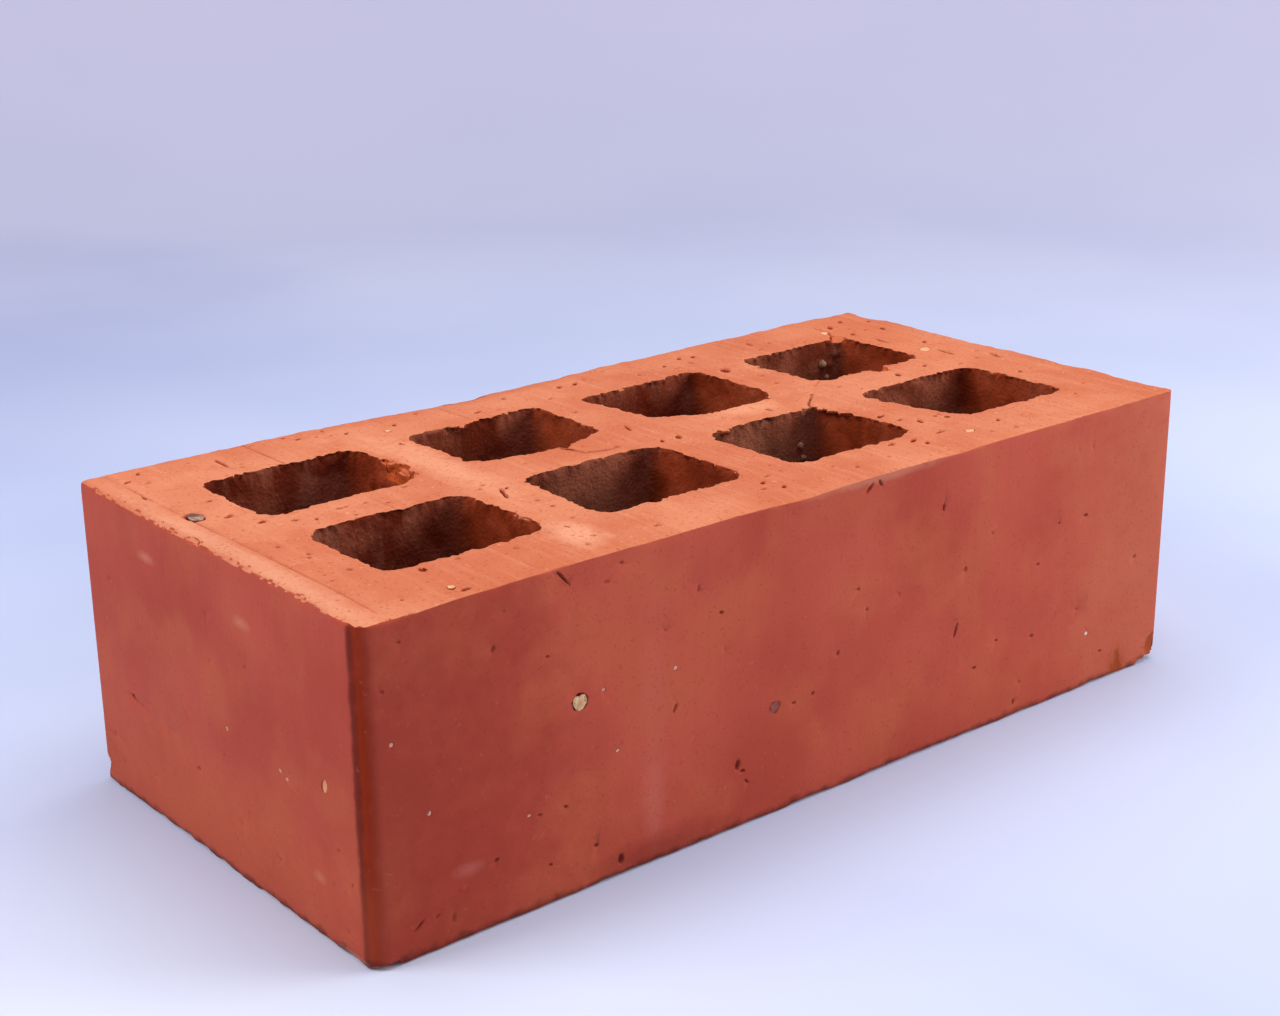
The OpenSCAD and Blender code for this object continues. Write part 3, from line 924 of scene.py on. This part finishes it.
def die_skin():
    """The skin that the die left on the sides: smooth, dark red, faintly drawn upwards, a little sheen."""
    made, tree, shader, place = start_material("die_skin_fired_clay", 0.6, 0.1)
    cloud = pattern(tree, place, 30, 3)
    drawn = pattern(tree, place, 2.2, 3, (1, 1, 0.05), 5)
    blush = pattern(tree, place, 15, 3, shift=41)
    speck = pattern(tree, place, 0.7, 1, shift=11)
    dust = pattern(tree, place, 1.2, 2, shift=17)
    edge = pattern(tree, place, 4, 3, shift=23)
    colour = tint(tree, linear("#ab4431"), cloud, "#b9513c", 0.35, 0.65)
    colour = tint(tree, colour, blush, "#bb5c3c", 0.48, 0.66, 0.5)
    colour = tint(tree, colour, drawn, "#a03c2b", 0.5, 0.7, 0.08)
    # Among these patches, painted shade lies down the near arris and over the left end of the front face, and
    # painted light over its right end.
    for middle, reach, hex_colour, strength in SKIN_PATCHES:
        colour = patch(tree, place, colour, middle, reach, hex_colour, strength, edge)
    height = add(tree, "SeparateXYZ", {0: place}).outputs["Z"]
    height = add(tree, "Math", {0: edge, 1: 4, 2: height}, operation="MULTIPLY_ADD").outputs[0]
    colour = tint(tree, colour, height, "#4c1c16", 3.8, 2.4, 0.75)
    colour = tint(tree, colour, speck, "#86301f", 0.64, 0.72, 0.3)
    colour = tint(tree, colour, dust, "#c6705a", 0.68, 0.78, 0.25)
    colour = marks(tree, colour, "#5a180c", "#9c4016")
    tree.links.new(colour, shader.inputs["Base Color"])
    relief = add(tree, "Math", {0: drawn, 1: speck}, operation="ADD").outputs[0]
    raise_grain(tree, shader, relief, 0.03)
    return made


def sanded_core_wall():
    """The cores' walls: rough, brown, sandy clay with pale grains and upright drag lines, with painted light
    on the walls that face -x and painted shade under the rims.
    """
    made, tree, shader, place = start_material("sandy_core_wall_clay", 0.95, 0.05)
    drag = pattern(tree, place, 5, 2, (1, 1, 0.05), 5)
    sand = pattern(tree, place, 0.75, 2, shift=11)
    edge = pattern(tree, place, 9, 2, shift=23)
    colour = tint(tree, linear("#78301d"), edge, "#96503a", 0.42, 0.66)
    colour = tint(tree, colour, drag, "#9c6650", 0.54, 0.74, 0.4)
    for middle, reach, hex_colour, strength in CORE_PATCHES:
        colour = patch(tree, place, colour, middle, reach, hex_colour, strength, edge)
    colour = tint(tree, colour, sand, "#b98a70", 0.62, 0.76, 0.3)
    colour = tint(tree, colour, sand, "#5a200f", 0.42, 0.3, 0.35)
    # Painted light: walls that face -x, the cores' right walls, are painted a lighter orange as if lit by
    # light bounced across the core.
    facing = add(tree, "SeparateXYZ", {0: add(tree, "TexCoord", {}).outputs["Normal"]}).outputs["X"]
    colour = tint(tree, colour, facing, "#ac4520", -0.35, -0.9, 0.6)
    colour = tint(tree, colour, edge, "#5c1c0c", 0.5, 0.36, 0.45)
    # The dark colour here is painted shade under the rims; the fresh colour is broken clay.
    colour = marks(tree, colour, "#2e0c06", "#c85a2a")
    tree.links.new(colour, shader.inputs["Base Color"])
    relief = add(tree, "Math", {0: sand, 1: drag}, operation="ADD").outputs[0]
    raise_grain(tree, shader, relief, 0.3)
    return made


def stone(name, roughness, base, second, spot, size, dark_side=None):
    """A mineral grain: two tones in clouds, and spots of a third."""
    made, tree, shader, place = start_material(name, roughness, 0.4)
    cloud = pattern(tree, place, size, 3)
    fine = pattern(tree, place, size / 4, 2, shift=9)
    colour = tint(tree, linear(base), cloud, second, 0.42, 0.58)
    if dark_side:
        middle, reach, hex_colour = dark_side
        colour = patch(tree, place, colour, middle, reach, hex_colour, 0.85, cloud)
    colour = tint(tree, colour, fine, spot, 0.58, 0.68, 0.8)
    tree.links.new(colour, shader.inputs["Base Color"])
    raise_grain(tree, shader, fine, 0.12)
    return made


def give_clay_materials(block):
    """Wire-cut clay on the bed faces, die skin on the sides, and sandy clay in the cores."""
    for made in (wire_cut_clay(), die_skin(), sanded_core_wall()):
        block.data.materials.append(made)
    middle, normal = middles_and_normals(block)
    core = core_reach(middle)[0]
    outer = outline_reach(middle, block_outline, ARRIS)[0]
    from_bed = np.minimum(middle[:, 2], HEIGHT - middle[:, 2])
    upright = np.abs(normal[:, 2]) < 0.6
    wire_cut, skin, core_wall = range(3)
    kind = np.full(len(middle), wire_cut, np.int32)
    kind[(outer > -2) & ((from_bed > 1) | upright)] = skin
    kind[(core < 3) & (upright | (from_bed > 3))] = core_wall
    block.data.polygons.foreach_set("material_index", kind)


def place_in_frame(piece, node):
    """Hides the CAD node that the piece stands in for. Nothing on a brick moves, so all ride the root."""
    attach(piece, "root")
    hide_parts(node)


def greywacke():
    """A greywacke pebble: grey-brown and matt, dark at one end, with dark grains."""
    dark_end = ((-100.5, 17.8, 65), (2.4, 2, 3), "#5c3226")
    return stone("greywacke_pebble", 0.9, "#8c6454", "#b0907e", "#664236", 1.3, dark_end)


def limestone():
    """A limestone pebble: cream and chalky, ochre in its middle."""
    ochre_middle = ((-61.8, -51, 37.8), (0.8, 2, 0.7), "#b5824a")
    return stone("limestone_pebble", 0.8, "#d9b98c", "#cfa878", "#a8794a", 1.1, ochre_middle)


# Each stone's slot and mineral.
STONE_LOOKS = {
    "grey_pebble": ("grey_stone", greywacke()),
    "cream_pebble": ("cream_stone", limestone()),
    # Feldspar: a soft orange-buff grain.
    "buff_grain": ("buff_stone", stone("feldspar_grain", 0.7, "#d88f5c", "#e0a474", "#b8633a", 0.9)),
    # Milky quartz: white and a little glassy.
    "quartz_grain": ("white_quartz", stone("milky_quartz_grain", 0.4, "#f0e2d6", "#e0c8b8", "#b9907c", 0.6)),
    # Burnt ironstone: a dark, fused spot, close to the clay's own red.
    "iron_nodule": ("ironstone", stone("burnt_ironstone", 0.8, "#84483c", "#984c3c", "#6a362c", 0.9)),
    # Quartz sand: dull grains, pale in the bed face and pinker where the die smeared clay on them.
    "bed_grit": ("pale_grit", stone("pale_quartz_sand", 0.75, "#e9b78a", "#e0a270", "#c98456", 1)),
    "stretcher_grit": ("white_quartz", stone("white_quartz_sand", 0.6, "#d9a78f", "#cf9079", "#b46e5a", 0.6)),
    "header_grit": ("pale_grit", stone("buff_quartz_sand", 0.7, "#c98566", "#d59777", "#ac5c44", 0.7)),
    "core_wall_grit": ("pale_grit", stone("core_wall_sand", 0.85, "#b58c6a", "#9c7050", "#6e4832", 0.9)),
}
# Grains that stand out of the far walls of two cores: middle and size.
CORE_GRAINS = [
    ((79.8, 32.7, 59), 2.2), ((81.3, 32.7, 55.5), 1.4), ((34.3, -7.1, 56.5), 1.6), ((35.3, -7.1, 53.5), 1.4),
]


def finish_stones(node, grains):
    """Joins a node's grains into one piece with the look of its mineral."""
    slot, look = STONE_LOOKS[node]
    piece = join(grains, "visual_" + node)
    piece.data.materials.append(look)
    place_in_frame(piece, node)


give_clay_materials(block)
place_in_frame(block, "fired_clay_body")

for node, (face, places) in STONES.items():
    outline = CREAM_OUTLINE if node == "cream_pebble" else None
    finish_stones(node, [stone_in_face(face, place, 20 + k, outline) for k, place in enumerate(places)])
finish_stones("core_wall_grit", [
    grain_on_wall(middle, size, 40 + k) for k, (middle, size) in enumerate(CORE_GRAINS)
])


# ---------------------------------------------------------------- the studio

def sweep_of_paper():
    """A pale paper floor that curves up into a low wall all round."""
    deselect()
    bpy.ops.mesh.primitive_grid_add(x_subdivisions=160, y_subdivisions=160, size=4)
    floor = bpy.context.object
    floor.name = "floor"
    p = points_of(floor)
    span = np.hypot(p[:, 0], p[:, 1])
    start, bend, steepest, below_brick = 560, 420, 0.8, 0.02
    part = np.clip((span - start) / bend, 0, steepest)
    p[:, 2] = bend * (1 - np.sqrt(1 - part ** 2)) - below_brick
    set_points(floor, p)
    bpy.ops.object.shade_smooth()
    made, tree, shader, place = start_material("pale_studio_paper", 0.9, 0.2)
    fibre = pattern(tree, place, 180, 2)
    colour = tint(tree, linear("#bcc9e6"), fibre, "#c4cfea", 0.4, 0.6)
    away = add(tree, "VectorMath", {0: place}, operation="LENGTH").outputs["Value"]
    colour = tint(tree, colour, away, "#dad6ec", 250, 1000)
    # Painted light: a paler patch on the floor off the brick's left end, where the brick's shadow falls.
    colour = patch(tree, place, colour, (-240, -130, 0), (190, 170, 60), "#e2eaf8", 0.9, fibre)
    # Painted shade: a darker patch on the paper behind the brick, where less light falls.
    colour = patch(tree, place, colour, (-40, 400, 0), (190, 220, 80), "#a8b2da", 0.6, fibre)
    tree.links.new(colour, shader.inputs["Base Color"])
    floor.data.materials.append(made)


def soft_light(name, place, aim, width, depth, power, hex_colour):
    """A wide, soft light at the place, in millimetres, turned towards the aim."""
    data = bpy.data.lights.new(name, "AREA")
    data.shape = "RECTANGLE"
    data.size, data.size_y = width * MM, depth * MM
    data.energy = power
    data.color = linear(hex_colour)[:3]
    light = bpy.data.objects.new(name, data)
    bpy.context.scene.collection.objects.link(light)
    turn = (Vector(aim) - Vector(place)).to_track_quat("-Z", "Y")
    light.matrix_world = Matrix.Translation(Vector(place) * MM) @ turn.to_matrix().to_4x4()


sweep_of_paper()
soft_light("overhead", (120, -40, 950), (0, 0, 0), 800, 800, 6.2, "#fffcfa")
soft_light("window", (520, -400, 290), (90, 0, 20), 400, 300, 3, "#fffaf6")
soft_light("back_left", (-540, 180, 500), (-40, 0, 30), 350, 300, 2.6, "#fff8f4")

bpy.context.scene.view_settings.view_transform = "Standard"
world = bpy.data.worlds.new("studio")
bpy.context.scene.world = world
world.use_nodes = True
background = world.node_tree.nodes["Background"]
background.inputs["Color"].default_value = linear("#dcdcf4")
background.inputs["Strength"].default_value = 0.38
